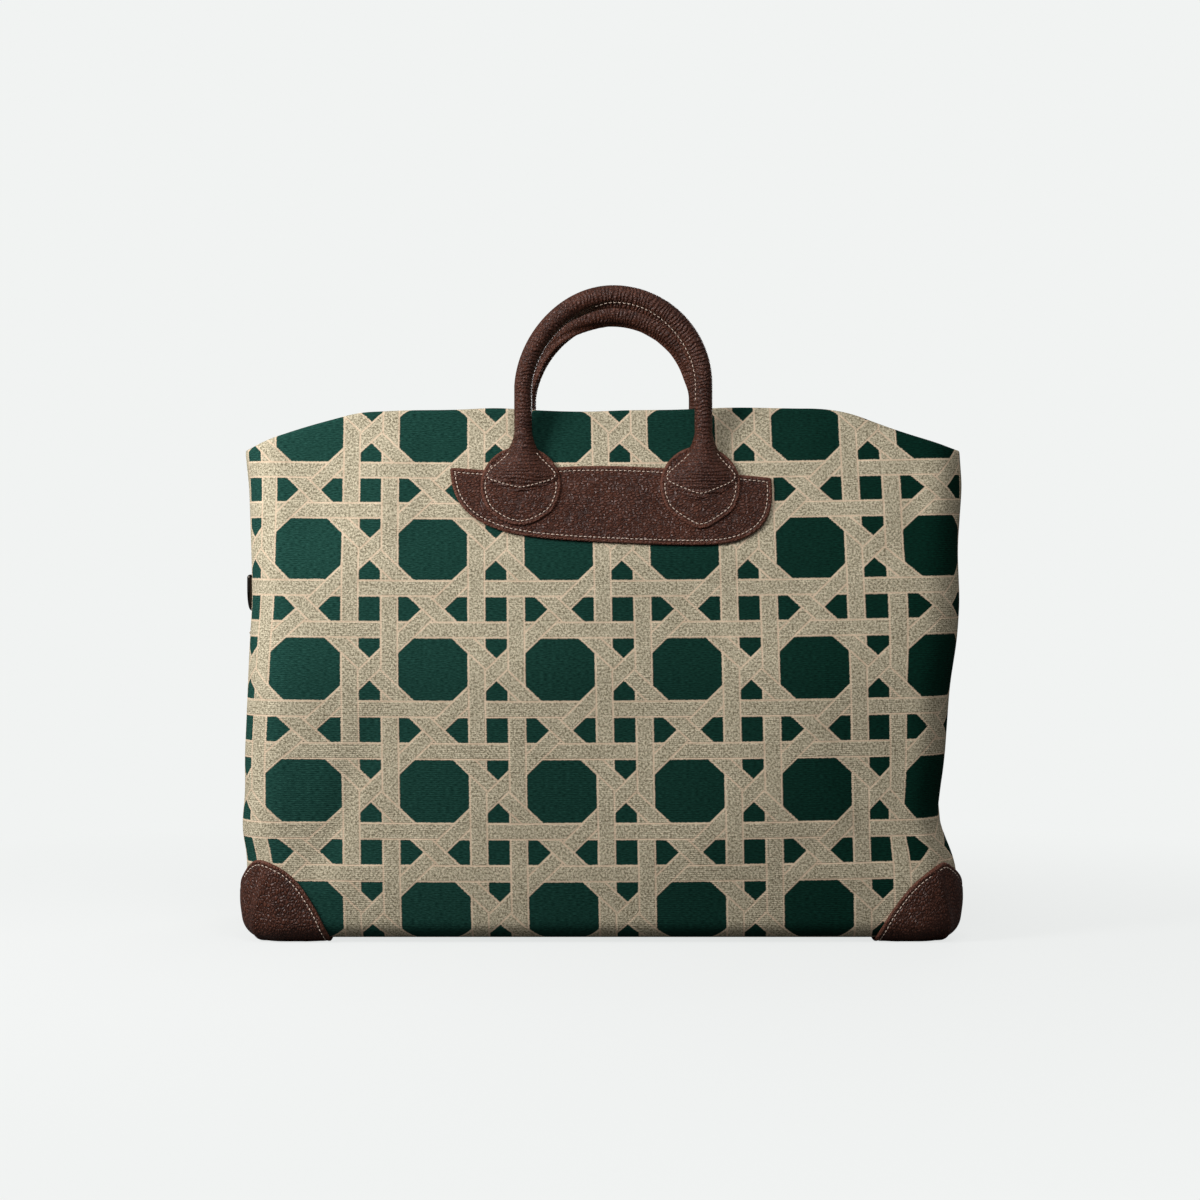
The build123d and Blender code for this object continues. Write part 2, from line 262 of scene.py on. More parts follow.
# %% Cane cloth
REPEAT_X = 94.5
REPEAT_Z = 91
COLUMN_X = -30.6
ROW_Z = 202.7
UPRIGHT_OFFSET = 32.5
LEVEL_OFFSET = 29.8
UPRIGHT_W = 13.6
LEVEL_W = 13.0
SLANT_W = 12.2
OUTLINE_W = 1.35
SOFT_EDGE = 0.3
RIB_PITCH = 1.5

# Each yarn is a darker and a lighter tone, mixed by the weave's own specks
STRAW = srgb(98, 90, 68), srgb(228, 216, 188)
CREAM = srgb(190, 166, 140), srgb(236, 214, 186)
# The green has a lit copy and a shaded copy, blended from the left of the bag to its right: painted shade
LIT_GREEN = srgb(2, 38, 33), srgb(48, 92, 82)
SHADED_GREEN = srgb(0, 19, 13), srgb(6, 50, 38)


def wrap(value, centre, span):
    """Distance from the nearest of the evenly spaced centres."""
    shifted = (value - centre + span / 2) / span
    return (shifted.math("FRACT") - 0.5) * span


def cane_cloth():
    material, tree, shader = new_material("cane_tapestry", 0.92, Specular_IOR_Level=0.04)
    start = Sock(tree, None)
    uv = start.add("ShaderNodeUVMap", uv_map="cloth")
    wobble = noise(start, uv, 900.0, 2.0)
    split = start.add("ShaderNodeSeparateXYZ", {0: uv})
    shake = (wobble - 0.5) * 1.3
    across = split * 1000 + shake
    upward = Sock(tree, split.link.node.outputs[1]) * 1000 + shake
    x = wrap(across, COLUMN_X, REPEAT_X)
    z = wrap(upward, ROW_Z, REPEAT_Z)
    slope = REPEAT_Z / REPEAT_X
    lean = math.cos(math.atan(slope))
    to_upright = (x.math("ABSOLUTE") - UPRIGHT_OFFSET).math("ABSOLUTE")
    to_level = (z.math("ABSOLUTE") - LEVEL_OFFSET).math("ABSOLUTE")
    rising = wrap(z - x * slope, REPEAT_Z / 2, REPEAT_Z).math("ABSOLUTE") * lean
    falling = wrap(z + x * slope, REPEAT_Z / 2, REPEAT_Z).math("ABSOLUTE") * lean
    strands = (to_upright, UPRIGHT_W), (to_level, LEVEL_W), (falling, SLANT_W), (rising, SLANT_W)
    upright, level, fall, rise = [gap.under(wide / 2, SOFT_EDGE) for gap, wide in strands]

    right = x.above(0, 0.01)
    high = z.above(0, 0.01)
    level_first = right * high + (1 - right) * (1 - high)
    in_level_gap = z.math("ABSOLUTE").above(REPEAT_Z / 4 + 4, 0.01)
    upright_shows = upright * (1 - level * level_first) * (1 - fall)
    level_shows = level * (1 - upright * (1 - level_first)) * (1 - rise)
    fall_shows = fall * (1 - level) * (1 - rise * (1 - in_level_gap))
    rise_shows = rise * (1 - upright) * (1 - fall * in_level_gap)
    covered = (upright + level + rise + fall).math("MINIMUM", 1.0)
    shows = upright_shows, level_shows, fall_shows, rise_shows
    shown = sum(shows[1:], shows[0]).math("MINIMUM", 1.0)
    body = (covered - shown).math("MAXIMUM", 0.0)
    for show, (gap, wide) in zip(shows, strands):
        body = body + show * gap.under(wide / 2 - OUTLINE_W, SOFT_EDGE)
    body = body.math("MINIMUM", 1.0)

    speck = noise(start, uv, 640.0, 3.0, 0.8)
    tone = noise(start, uv, 60.0, 3.0)
    yarn = speck.above(0.5, 0.09)
    weft = start.add("ShaderNodeMapping", {"Vector": uv, "Scale": (0.25, 1.0, 1.0)})
    pick = noise(start, weft, 1300.0, 2.0)
    straw = (yarn * 0.75 + tone * 0.25).mix(*STRAW)
    cream = (speck * 0.6 + tone * 0.4).above(0.5, 0.2).mix(*CREAM)
    place = start.add("ShaderNodeSeparateXYZ", {0: start.add("ShaderNodeTexCoord", out=3)})
    # Painted shade: the green turns from its lit copy to its shaded copy from the left of the bag to its
    # right
    shade_to_right = place.above(-0.02, 0.30)
    nap = pick.above(0.5, 0.2) * 0.7 + speck * 0.3
    green = shade_to_right.mix(nap.mix(*LIT_GREEN), nap.mix(*SHADED_GREEN))
    connect(tree, covered.mix(green, body.mix(cream, straw)), shader, "Base Color")

    ribs = (upward * (2 * math.pi / RIB_PITCH)).math("SINE") * 0.5 + 0.5
    weave = ribs * 0.5 + speck * 0.9
    raised = covered * 0.8 + body * 0.25
    relief = bump(start, weave, 0.45, 0.0006)
    connect(tree, bump(start, raised, 0.6, 0.0007, relief), shader, "Normal")
    return material


cane = cane_cloth()
print("cloth repeat", REPEAT_X, "by", REPEAT_Z, "mm")

# %% [markdown]
# The trim is vegetable-tanned cowhide, deep brown with a pebbled grain and a paler raw edge. The
# grain is a cell pattern that raises small pebbles, with larger soft patches of colour and gloss.
# Its colour is lighter on the pebble tops and darker in the cracks between them: painted highlight and
# shade.

# %% Leather
LEATHER_DARK = srgb(36, 16, 10)
LEATHER_MID = srgb(96, 57, 43)
LEATHER_EDGE = srgb(104, 62, 47)
CREASE_PITCH = 2.9


def leather(name, pebble, stretch=(1.0, 1.0, 1.0), folds=0.0, depth=0.0007):
    """Pebbled leather; folds is the strength of fine creases across a rolled handle."""
    material, tree, shader = new_material(name, 0.45, Specular_IOR_Level=0.28)
    start = Sock(tree, None)
    place = start.add("ShaderNodeTexCoord", out=3)
    drift = start.add("ShaderNodeTexNoise", {"Vector": place, "Scale": 170.0, "Detail": 2.0}, out=1)
    bent = start.add("ShaderNodeVectorMath", {0: drift, 1: (0.0022, 0.0022, 0.0022), 2: place},
                     operation="MULTIPLY_ADD")
    where = start.add("ShaderNodeMapping", {"Vector": bent, "Scale": stretch})
    edge = start.add("ShaderNodeTexVoronoi", {"Vector": where, "Scale": pebble},
                     feature="DISTANCE_TO_EDGE")
    tops = edge.above(0.16, 0.15)
    wrinkle = noise(start, where, pebble * 0.62, 2.0, 0.5)
    broad = noise(start, place, 42.0, 3.0)
    # Lighter pebble tops and darker cracks are painted highlight and shade; the wrinkle and broad patches
    # are the leather's own uneven tone
    shade = (tops * 0.45 + wrinkle * 0.5 + broad * 0.5).above(0.68, 0.36)
    colour = shade.mix(LEATHER_DARK, LEATHER_MID)
    rim = start.add("ShaderNodeAttribute", attribute_name="rim", out=2)
    edged = (rim * (0.5 + wrinkle * 0.7)).math("MINIMUM", 1.0).mix(colour, LEATHER_EDGE)
    connect(tree, edged, shader, "Base Color")
    connect(tree, 0.5 - shade * 0.14 + rim * 0.14, shader, "Roughness")
    relief = bump(start, tops * 0.6 + wrinkle * 0.8, 1.0, depth)
    if folds:
        uv = start.add("ShaderNodeUVMap", uv_map="roll")
        along = start.add("ShaderNodeSeparateXYZ", {0: uv})
        sway = noise(start, uv, 95.0, 2.0)
        crease = ((along * 1000 + sway * 9.0) * (2 * math.pi / CREASE_PITCH)).math("SINE") * 0.5 + 0.5
        relief = bump(start, crease, folds, 0.0007, relief)
    connect(tree, relief, shader, "Normal")
    return material


patch_leather = leather("patch_leather", 400.0, (0.75, 0.75, 1.35), depth=0.0011)
cap_leather = leather("cap_leather", 400.0, (1.2, 1.2, 0.8), depth=0.0010)
handle_leather = leather("handle_leather", 480.0, folds=0.8, depth=0.0006)
print("leathers made")

# %% [markdown]
# Small parts have simple finishes: waxed cotton thread, woven zip tape, dark plated metal, the
# plain lining, the board and the rope inside the handles. Each still varies a little by noise.

# %% Small finishes
def mottled(name, dark, light, scale, roughness, metallic=0.0, relief=0.3, distance=0.0004, **constants):
    """A finish that varies between two tones with a fine relief."""
    material, tree, shader = new_material(name, roughness, metallic, **constants)
    start = Sock(tree, None)
    place = start.add("ShaderNodeTexCoord", out=3)
    grain = noise(start, place, scale, 4.0, 0.6)
    connect(tree, grain.above(0.5, 0.25).mix(dark, light), shader, "Base Color")
    connect(tree, grain * 0.2 + (roughness - 0.1), shader, "Roughness")
    connect(tree, bump(start, grain, relief, distance), shader, "Normal")
    return material


thread = mottled("cream_thread", srgb(186, 160, 140), srgb(238, 220, 204), 2500.0, 0.7)
tape_weave = mottled("zip_tape_weave", srgb(24, 16, 12), srgb(52, 36, 28), 1800.0, 0.85)
metal = mottled("dark_nickel", srgb(52, 48, 44), srgb(86, 80, 74), 90.0, 0.32, 1.0, 0.05, 0.0002)
lining_weave = mottled("lining_cotton", srgb(110, 92, 70), srgb(140, 120, 94), 1400.0, 0.9)
board = mottled("pressed_board", srgb(96, 76, 54), srgb(130, 106, 78), 500.0, 0.9)
rope = mottled("cotton_rope", srgb(190, 170, 134), srgb(214, 196, 160), 900.0, 0.9)
tab_leather = leather("tab_leather", 600.0, depth=0.0005)

node_finish = {
    "base_board": board, "base_panel": cane, "handle_core": rope, "side_ring": metal,
    "zip_tape": tape_weave, "zip_pull_tab": tab_leather, "zip_": metal,
}
for node_name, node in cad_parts.items():
    known = [finish for start, finish in node_finish.items() if node_name.startswith(start)]
    finish_of = (known + [cap_leather])[0]
    for node_slot in node.material_slots:
        node_slot.material = finish_of
print("finished CAD nodes", len(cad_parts))

# %% [markdown]
# A grid primitive is the start of every sheet here. This helper adds one with clean UVs, moves its
# vertices by a function of their place in the grid, welds what meets and turns the faces outward.

# %% Grid helper
def clear_selection():
    bpy.ops.object.select_all(action="DESELECT")


def grid_piece(name, columns, rows, place, uv_name="flat", flip=False):
    """A grid of columns by rows faces; place(i, j) gives a point and its UV, in millimetres."""
    clear_selection()
    bpy.ops.mesh.primitive_grid_add(x_subdivisions=columns, y_subdivisions=rows, size=2)
    piece = bpy.context.object
    piece.name = name
    piece.data.name = name
    mesh = piece.data
    spots = {}
    for vertex in mesh.vertices:
        i = round((vertex.co.x + 1) / 2 * columns)
        j = round((vertex.co.y + 1) / 2 * rows)
        spots[vertex.index] = place(i, j)
    layer = mesh.uv_layers.active
    layer.name = uv_name
    for loop in mesh.loops:
        u, v = spots[loop.vertex_index][1]
        layer.data[loop.index].uv = (u * MM, v * MM)
    for vertex in mesh.vertices:
        vertex.co = Vector(spots[vertex.index][0]) * MM
    if flip:
        mesh.flip_normals()
    for face in mesh.polygons:
        face.use_smooth = True
    return piece


def pick_only(piece):
    """Select one piece and make it active."""
    clear_selection()
    piece.select_set(True)
    bpy.context.view_layer.objects.active = piece


def weld(piece, distance=0.00002):
    """Merge vertices that lie on each other."""
    pick_only(piece)
    bpy.ops.object.mode_set(mode="EDIT")
    bpy.ops.mesh.select_all(action="SELECT")
    bpy.ops.mesh.remove_doubles(threshold=distance)
    bpy.ops.object.mode_set(mode="OBJECT")
    return piece


def thicken(piece, thickness, offset=-1.0):
    """Give a sheet its wall, inward from the shown face."""
    pick_only(piece)
    wall = piece.modifiers.new("wall", "SOLIDIFY")
    wall.thickness = thickness * MM
    wall.offset = offset
    bpy.ops.object.modifier_apply(modifier=wall.name)
    return piece


def dress(piece, material, slot_name, body, *nodes):
    """Give a piece its finish and its body, and hide the nodes it stands for; the slot name is not used."""
    piece.data.materials.clear()
    piece.data.materials.append(material)
    if nodes:
        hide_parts(*nodes)
    if body:
        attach(piece, body)
    return piece


print("grid helper ready")

# %% [markdown]
# Each panel is one width of cloth from side seam to side seam: up from under the base, over the top
# fold and down into the zip valley. A simulated cloth would lose the straight strands of the figure,
# so the grid is placed by formula: its columns follow the cloth round the two corners, its rows run
# up the face, and soft hollows are added where no leather holds the cloth.

# %% Cloth panels
FACE_COLUMNS = 130
TURN_COLUMNS = 10
SIDE_COLUMNS = 10
COLUMNS = FACE_COLUMNS + 2 * TURN_COLUMNS + 2 * SIDE_COLUMNS
ROWS_UNDER = 8
ROWS_FACE = 90
ROWS_FOLD = 6
ROWS_VALLEY = 8
UNDER_V = BASE_TOP - BASE_ROUND * math.pi / 2


def column_u(i, z):
    """Distance of a column round the cloth from the middle of the front, at a height."""
    width, depth = level_at(z)
    face, side, turn = width / 2 - CORNER, depth / 2 - CORNER, math.pi / 2 * CORNER
    step = abs(i - COLUMNS / 2)
    way = 1 if i > COLUMNS / 2 else -1
    if step <= FACE_COLUMNS / 2:
        return way * face * step / (FACE_COLUMNS / 2)
    step -= FACE_COLUMNS / 2
    if step <= TURN_COLUMNS:
        return way * (face + turn * step / TURN_COLUMNS)
    return way * (face + turn + side * (step - TURN_COLUMNS) / SIDE_COLUMNS)


print("cloth grid", COLUMNS, "columns")

# %% [markdown]
# Cut cloth is never quite square. Here the figure leans a little and its rows bow, so the place on
# the flat cloth is worked out from the place on the bag.

# %% Place on the flat cloth
COLUMN_LEAN = 0.0162
UPPER_STRETCH = 0.016
LOWER_STRETCH = 0.0095
ROW_BOW = 0.000036
BOW_X = -60


def cloth_place(u, z):
    """Place on the flat cloth; the figure was cut a little askew, and its rows bow upward."""
    above = z - ROW_Z
    up = z + above * (UPPER_STRETCH if above > 0 else LOWER_STRETCH)
    return u + COLUMN_LEAN * above, up - ROW_BOW * (u - BOW_X) ** 2


print("lean of the figure", COLUMN_LEAN)

# %% [markdown]
# A filled bag swells softly, drags above its corners and is drawn in along the side seam. The cloth
# turns over the top in a narrow roll, which dies out over the side seam to leave room for the zip's tab.

# %% Swells and folds
SEAM_FLAT = (7, 16)
SEAM_DROP = 1.6
SEAM_DEPTH = 1.3


def cloth_swell(x, z):
    """Soft swells of the front in millimetres, none under the leather or at the edges."""
    inside = 1 - smooth_step(abs(x), 215, 262)
    low = smooth_step(z, 30, 90) * (1 - smooth_step(z, 270, 296)) * inside
    swell = 1.8 * math.sin(x / 74 + 0.8) * math.sin(z / 52 + 0.4)
    swell += 0.9 * math.sin(x / 33 - z / 60) + 0.5 * math.sin(x / 21 + z / 38 + 2)
    beside = smooth_step(abs(x - HANDLE_X), 128, 160)
    high = beside * smooth_step(z, 285, 315) * (1 - smooth_step(z, 376, 396))
    upper = 1.6 * math.sin(x / 26 + z / 45) + 0.9 * math.sin(x / 15 - z / 50)
    drag = 2.2 * math.exp(-((abs(x) - 214 + (z - 40) * 0.35) / 13) ** 2) * smooth_step(z, 34, 66)
    return swell * low + upper * high * inside - drag * (1 - smooth_step(z, 100, 190))


def seam_dip(u, z):
    """The side seam pulls the cloth in along a narrow valley."""
    y = wall(u, z)[1]
    return -SEAM_DEPTH * math.exp(-(y / 2.2) ** 2)


def valley_path(z, y, x):
    """Points of the cloth over the fold and down into the valley: y and z of each row."""
    lip = -VALLEY_FLOOR - (VALLEY_TOP - VALLEY_FLOOR) * (z + FOLD_ROUND - FLOOR_Z) / (FOLD_Z - FLOOR_Z)
    lip = max(y, min(lip, -SLOT_HALF))
    arch = FOLD_ROUND * smooth_step(-y, *SEAM_FLAT)
    rows = []
    for k in range(1, ROWS_FOLD + 1):
        angle = math.pi * k / ROWS_FOLD
        rows.append((y + (lip - y) * (1 - math.cos(angle)) / 2, z + arch * math.sin(angle)))
    edge = -SLOT_HALF * (1 - smooth_step(abs(x), 246, 253))
    floor = max(lip, -VALLEY_FLOOR)
    down = ROWS_VALLEY - 2
    for k in range(1, down + 1):
        rows.append((lip + (floor - lip) * k / down, z + (FLOOR_Z - z) * k / down))
    for k in (1, 2):
        rows.append((floor + (max(edge, floor) - floor) * k / 2, FLOOR_Z))
    return rows


print("roll over the fold", FOLD_ROUND, "mm high")

# %% [markdown]
# One panel point puts these together, row by row: under the base, up the face, over the fold and down
# into the valley. The back panel is the front one turned over, made with its own mesh.

# %% Front and back panels
VALLEY_STEP = 2.2


def panel_point(i, j):
    """A point of the front panel and its place on the flat cloth, in millimetres."""
    if j <= ROWS_UNDER:
        v = UNDER_V + (BASE_TOP - UNDER_V) * j / ROWS_UNDER
        u = column_u(i, max(v, BASE_TOP - BASE_ROUND))
        return skin(u, v, seam_dip(u, max(v, 10))), cloth_place(u, v)
    end_x, end_y = wall(column_u(i, 380), 380)[:2]
    top = top_at(end_x) - FOLD_ROUND - SEAM_DROP * (1 - smooth_step(-end_y, *SEAM_FLAT))
    z = BASE_TOP + (top - BASE_TOP) * min((j - ROWS_UNDER) / ROWS_FACE, 1)
    u = column_u(i, z)
    x, y, z = skin(u, z, 0)
    if abs(u) < 262:
        y -= cloth_swell(x, z)
    else:
        x += math.copysign(seam_dip(u, z), x)
    if j <= ROWS_UNDER + ROWS_FACE:
        return (x, y, z), cloth_place(u, z)
    row = j - ROWS_UNDER - ROWS_FACE - 1
    y, z_row = valley_path(z, y, x)[row]
    return (x * (1 - 0.0006 * row), y, z_row), cloth_place(u, z + VALLEY_STEP * (row + 1))


panel_rows = ROWS_UNDER + ROWS_FACE + ROWS_FOLD + ROWS_VALLEY
for side, way in SIDES:
    def place(i, j):
        (x, y, z), flat_place = panel_point(i, j)
        return (x, y * way, z), flat_place
    panel = grid_piece(f"{side}_cloth", COLUMNS, panel_rows, place, "cloth", flip=way < 0)
    thicken(panel, CLOTH_T * 0.6)
    dress(panel, cane, "cane_cloth", "bag", f"{side}_panel", f"cane_fields_{side}")
    print(side, "panel faces", len(panel.data.polygons))

# %% [markdown]
# The base is a flat piece of the same cloth, whose edge tucks in just above the panels' turned hem.
# The lining is one plain cotton bag, a little inside the cloth. It is one grid that runs right round
# from side seam to side seam and back, and its lowest rows close over the board.

# %% Base cloth and lining
BASE_COLUMNS, BASE_ROWS = 24, 12
base_z, base_width, base_depth = LEVELS[0]


def base_place(i, j):
    """A point of the flat base, inside the rounding of its edges."""
    x = (base_width / 2 - BASE_ROUND) * (2 * i / BASE_COLUMNS - 1)
    y = (base_depth / 2 - BASE_ROUND) * (2 * j / BASE_ROWS - 1)
    return (x, y, base_z), (x, y)


base = grid_piece("base_cloth", BASE_COLUMNS, BASE_ROWS, base_place, "cloth", flip=True)
thicken(base, CLOTH_T * 0.6)
dress(base, cane, "cane_cloth", "bag", "base_panel")

LINING_IN = 3.4
LINING_COLUMNS = 80
LINING_ROWS = 30
LINING_LOW = 14
LINING_TOP = 352


def lining_place(i, j):
    """A point of the lining: the front half for the first columns, the back half for the rest."""
    way = 1 if i <= LINING_COLUMNS else -1
    share = (i if way > 0 else 2 * LINING_COLUMNS - i) / LINING_COLUMNS
    z = LINING_LOW + (LINING_TOP - LINING_LOW) * max(j - 3, 0) / (LINING_ROWS - 3)
    u = column_u(COLUMNS * share, z)
    x, y, z = skin(u, z, 0)
    close = min((j + 1) / 4, 1)
    size = (1 - LINING_IN / 240) * close
    return (x * size, way * y * (1 - LINING_IN / 60) * close, z), (u, z)


lining = grid_piece("cotton_lining", 2 * LINING_COLUMNS, LINING_ROWS, lining_place)
weld(lining, 0.0002)
thicken(lining, 0.5)
dress(lining, lining_weave, "lining_cloth", "bag", "lining")
print("lining faces", len(lining.data.polygons))

# %% [markdown]
# Leather plates, such as the handle patches, chapes and corner caps, are cut to an outline and sewn
# flat on the cloth. Each is a grid wrapped round its outline: the first rows step in from the raw
# edge, dip at the stitch line and swell a little inside, and the last rows close on a middle line.

# %% Leather plates
EDGE_STEPS = (0.0, 0.25, 0.8, 1.6, 2.4, 3.0, 3.6, 4.3, 5.4, 7.6)
STITCH_IN = 3.5
RIM_IN = 1.9


def resample(points, count):
    """Evenly spaced points round a closed outline."""
    lengths = [math.dist(a, b) for a, b in zip(points, points[1:] + points[:1])]
    total = sum(lengths)
    result, index, walked = [], 0, 0.0
    for k in range(count):
        target = total * k / count
        while walked + lengths[index] < target:
            walked += lengths[index]
            index += 1
        a, b = points[index], points[(index + 1) % len(points)]
        t = (target - walked) / lengths[index]
        result.append((a[0] + (b[0] - a[0]) * t, a[1] + (b[1] - a[1]) * t))
    return result


def inset(points, distance):
    """An outline moved in by a distance along its normals; it runs counter-clockwise."""
    count = len(points)
    spacing = math.dist(points[0], points[1])
    reach = max(2, math.ceil(distance / spacing * 1.3))
    moved = []
    for k in range(count):
        a, b = points[(k - reach) % count], points[(k + reach) % count]
        tx, ty = b[0] - a[0], b[1] - a[1]
        size = math.hypot(tx, ty)
        moved.append((points[k][0] - ty / size * distance, points[k][1] + tx / size * distance))
    return moved


def rounded(points, rounds=2, corners=()):
    """Chaikin corner cutting, which leaves the listed corners nearly sharp."""
    for turn in range(rounds):
        result, marks = [], []
        for k, (a, b) in enumerate(zip(points, points[1:] + points[:1])):
            low = 0.04 if k in corners else 0.25
            high = 0.96 if (k + 1) % len(points) in corners else 0.75
            result.append((a[0] + (b[0] - a[0]) * low, a[1] + (b[1] - a[1]) * low))
            if k in corners:
                marks.append(len(result) - 1)
            result.append((a[0] + (b[0] - a[0]) * high, a[1] + (b[1] - a[1]) * high))
        points, corners = result, tuple(marks)
    return points


def plate(name, outline, spine, heights, place_on, shape=None, inner_steps=8, flip=False):
    """A sewn plate: heights are its inner face, its outer face and its swell in the middle."""
    inner, outer, puff = heights
    count = len(outline)
    rings = [outline]
    profile = [(inner, 1.0)]
    for step in EDGE_STEPS:
        rings.append(inset(outline, step))
        rise = inner + (outer - inner) * min(1.0, 0.5 + 0.5 * smooth_step(step, 0, 0.9))
        dip = 0.5 * math.exp(-((step - STITCH_IN) / 0.9) ** 2)
        profile.append((rise - dip, 1 - smooth_step(step, RIM_IN - 0.7, RIM_IN + 0.4)))
    last = rings[-1]
    for k in range(1, inner_steps + 1):
        share = k / inner_steps
        middle = [min(max(x, spine[0]), spine[1]) for x, z in last]
        rings.append([(x + (m - x) * share, z + (spine[2] - z) * share) for (x, z), m in zip(last, middle)])
        profile.append((outer + puff * math.sin(math.pi / 2 * share), 0.0))

    def place(i, j):
        x, z = rings[j][i % count]
        proud = profile[j][0] + (shape(x, z) if shape and j > 2 else 0)
        return place_on(x, z, proud), (x, z)

    piece = grid_piece(name, count, len(rings) - 1, place, flip=flip)
    rims = piece.data.attributes.new("rim", "FLOAT", "POINT")
    for index in range(len(piece.data.vertices)):
        rims.data[index].value = profile[index // (count + 1)][1]
    return weld(piece)


def on_face(way):
    """Places a point of a flat outline on the front (way 1) or the back (way -1) face."""
    def place_on(x, z, proud):
        return x, way * front_y(z, proud), z
    return place_on


print("plate helper ready")

# %% [markdown]
# Hand stitches are short rounded bars of thread, alike and many. One function walks a line on the
# leather at the stitch pitch and lays a low six-sided bar between each pair of needle holes.

# %% Stitches
STITCH_PITCH = 3.5
STITCH_LENGTH = 2.5
STITCH_R = 0.36
HEXAGON = [math.pi / 3 * n for n in range(6)]
BAR = ((0.0, 0.45, -0.25), (0.2, 1.0, 0.1), (0.5, 1.0, 0.25), (0.8, 1.0, 0.1), (1.0, 0.45, -0.25))


def point_along(path, spans, reach):
    """The point of a path at a distance from its start."""
    for start, end, span in zip(path, path[1:], spans):
        if reach <= span:
            return Vector(start).lerp(Vector(end), reach / (span or 1.0))
        reach -= span
    return Vector(path[-1])


def stitch_row(name, paths, outward, body, pitch=STITCH_PITCH):
    """Stitches along each path of points, in millimetres; outward(point) is the face's normal."""
    build = bmesh.new()
    total = 0
    length = STITCH_LENGTH * pitch / STITCH_PITCH
    for path in paths:
        spans = [math.dist(a, b) for a, b in zip(path, path[1:])]
        count = max(int(sum(spans) / pitch), 1)
        for k in range(count):
            middle = sum(spans) * (k + 0.5) / count
            start = point_along(path, spans, middle - length / 2)
            end = point_along(path, spans, middle + length / 2)
            normal = Vector(outward((start + end) / 2)).normalized()
            side = (end - start).cross(normal).normalized()
            loops = []
            for share, size, lift in BAR:
                centre = start.lerp(end, share) + normal * lift
                ring = [side * math.cos(a) + normal * math.sin(a) for a in HEXAGON]
                loops.append([build.verts.new((centre + way * STITCH_R * size) * MM) for way in ring])
            for low, high in zip(loops, loops[1:]):
                for n in range(6):
                    build.faces.new((low[n], low[(n + 1) % 6], high[(n + 1) % 6], high[n]))
            build.faces.new(list(reversed(loops[0])))
            build.faces.new(loops[-1])
            total += 1
    bmesh.ops.recalc_face_normals(build, faces=build.faces)
    mesh = bpy.data.meshes.new(name)
    build.to_mesh(mesh)
    build.free()
    piece = bpy.data.objects.new(name, mesh)
    bpy.context.collection.objects.link(piece)
    for face in mesh.polygons:
        face.use_smooth = True
    dress(piece, thread, "brown_leather", body)
    print(name, "stitches", total)
    return piece


def closed(points):
    return points + points[:1]


print("stitch pitch", STITCH_PITCH, "mm")

# %% [markdown]
# The handle patch is a shallow boat shape: a nearly straight top, short upright ends and a long
# curved lower edge, not quite even. It carries both ends of the handle.

# %% Handle patches
PATCH_INNER = 0.6
PATCH_OUTER = 2.8
PATCH_SHAPE = (
    (120, 347), (85, 350.5), (68, 352), (40, 354.5), (0, 356.5), (-40, 355.8), (-68, 352.5), (-90, 352.5),
    (-124, 355), (-122, 340), (-117, 328), (-107, 317), (-92, 309), (-74, 303.5), (-40, 299.5),
    (0, 297.5), (40, 295.8), (72, 295.5), (92, 298), (107, 305), (116, 315), (120, 328),
)
patch_corners = (0, 8)
patch_outline = [(HANDLE_X + x, z) for x, z in PATCH_SHAPE]
patch_edge = resample(rounded(patch_outline, 3, patch_corners), 240)
for side, way in SIDES:
    patch = plate(f"{side}_patch_leather", patch_edge, (HANDLE_X - 90, HANDLE_X + 90, 325),
                  (PATCH_INNER, PATCH_OUTER, 0.5), on_face(way), flip=way < 0)
    dress(patch, patch_leather, "brown_leather", "bag", f"handle_patch_{side}")
    line = closed([on_face(way)(x, z, PATCH_OUTER - 0.2) for x, z in inset(patch_edge, STITCH_IN)])
    stitch_row(f"{side}_patch_stitches", [line], lambda p, w=way: (0, -w, 0.25), "bag")

# %% [markdown]
# Each handle end is sewn on a shield-shaped chape. The shield is a plate like the patch, a little
# pointed at the bottom, with its own line of stitches up to where the handle's end covers it.

# %% Chapes
CHAPE_OUTER = 4.8
CHAPE_R = 30.4
CHAPE_Z = 341
CHAPE_SEAM_TOP = 357
ENDS = (("left", -1, -61, 310.5, 1.1, 4.3), ("right", 1, 74.8, 308, 1.65, 5.8))


def chape_outline(x, tip):
    """A shield: most of a circle, drawn down to a blunt point."""
    angles = [math.radians(-22 + 224 * k / 36) for k in range(37)]
    points = [(x + CHAPE_R * math.cos(a), CHAPE_Z + CHAPE_R * math.sin(a)) for a in angles]
    lower = [(-25, 322), (-14, 314), (-3.5, tip), (3.5, tip), (14, 314), (25, 322)]
    return points + [(x + dx, z) for dx, z in lower]


for side, way in SIDES:
    for end, toward, x, tip, drop, lower in ENDS:
        shape = resample(rounded(chape_outline(x, tip), 2), 110)
        chape = plate(f"{side}_{end}_chape_leather", shape, (x - 1, x + 1, 338),
                      (PATCH_OUTER - 0.3, CHAPE_OUTER, 0.8), on_face(way), flip=way < 0)
        dress(chape, patch_leather, "brown_leather", "bag", f"chape_{side}_{end}")
        low = [p for p in inset(shape, STITCH_IN) if p[1] < CHAPE_SEAM_TOP]
        low.sort(key=lambda p: math.atan2(p[0] - x, CHAPE_SEAM_TOP - p[1]))
        line = [on_face(way)(a, b, CHAPE_OUTER - 0.2) for a, b in low]
        stitch_row(f"{side}_{end}_chape_stitches", [line], lambda p, w=way: (0, -w, 0.25), "bag")

# %% [markdown]
# A leather cap guards each lower corner. It is drawn flat, then laid on the bag's skin, so that it
# wraps the corner and turns under the base. A soft fold runs down it where the leather was creased.

